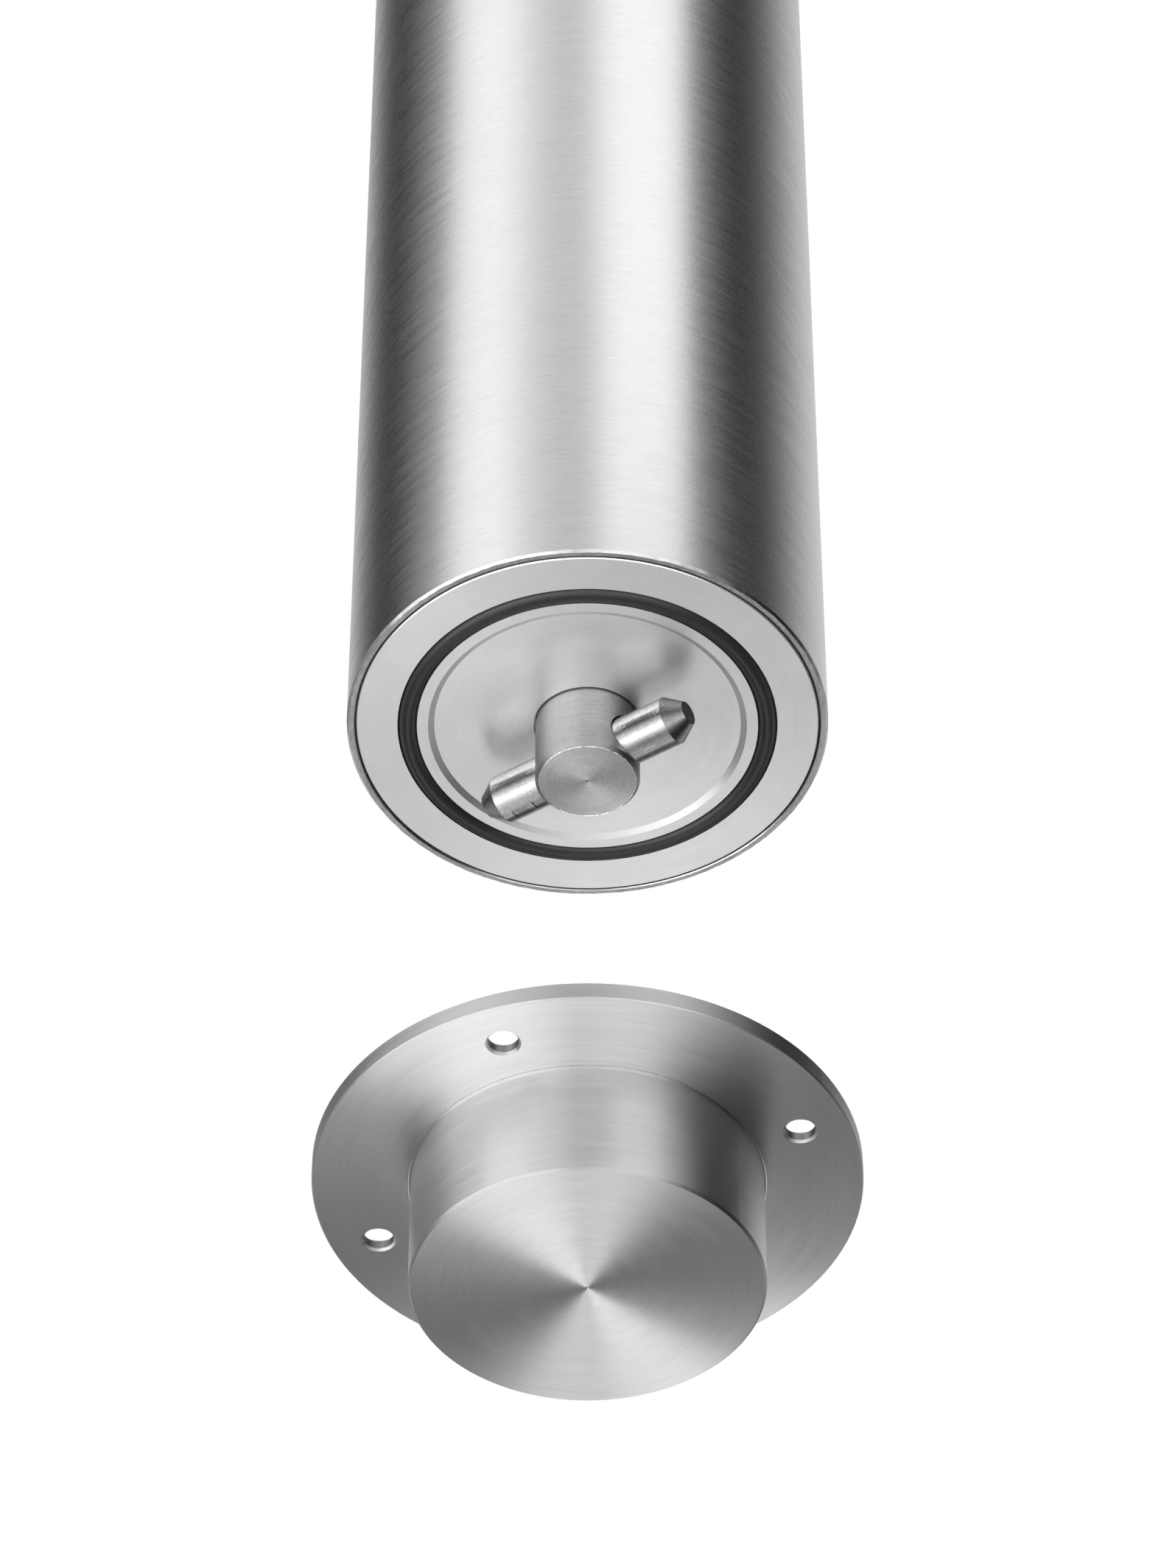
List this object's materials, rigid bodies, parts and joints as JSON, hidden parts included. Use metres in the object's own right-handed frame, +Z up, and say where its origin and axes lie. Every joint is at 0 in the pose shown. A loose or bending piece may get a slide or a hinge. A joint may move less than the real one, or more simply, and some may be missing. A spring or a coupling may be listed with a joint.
{
  "type": "barrier post",
  "caption": "Removable round barrier post with a sealed foot and a quarter-turn cross-pin lock, lifted clear of its flanged floor socket.",
  "frame": {"origin": "on the post's axis at ground level, in the plane of the socket flange's underside", "axes": "+Z up along the post, +X along the cross pin, which is in line with the socket's slot"},
  "size_m": [0.108, 0.108, 1.0584],
  "materials": {
    "brushed_tube": "brushed round the tube, satin",
    "faced_steel": "finely faced, satin",
    "turned_steel": "turned, semi-bright",
    "ground_steel": "ground, bright",
    "socket_steel": "turned in rings, semi-bright",
    "drawn_tube": "drawn, dull",
    "weld_steel": "small bright weld",
    "seal_rubber": "moulded, slight sheen",
    "bearing_bronze": "machined, plain",
    "guide_plastic": "moulded, matt"
  },
  "bodies": {
    "post": {"post_tube": "brushed_tube", "foot_plug": "faced_steel", "face_seal": "seal_rubber", "spindle_seal": "seal_rubber", "spindle_bush": "bearing_bronze", "thrust_washer": "bearing_bronze", "stop_pin": "ground_steel", "rod_guide": "guide_plastic", "top_cap": "brushed_tube", "cap_seal": "seal_rubber", "key_bush": "guide_plastic"},
    "lock": {"lock_spindle": "turned_steel", "cross_pin": "ground_steel", "drive_rod": "drawn_tube", "lower_rod_pin": "ground_steel", "upper_rod_pin": "ground_steel", "key_head": "turned_steel"},
    "socket": {"floor_flange": "socket_steel", "socket_cup": "socket_steel", "cup_weld": "weld_steel"}
  },
  "joints": [
    {"name": "lock_turn", "type": "hinge", "parent": "post", "child": "lock", "pos_m": [0, 0, 0.1284], "axis": [0, 0, 1], "range_deg": [0, 90]},
    {"name": "socket_slide", "type": "slide", "parent": "post", "child": "socket", "axis": [0, 0, 1], "range_m": [0, 0.1235]}
  ]
}
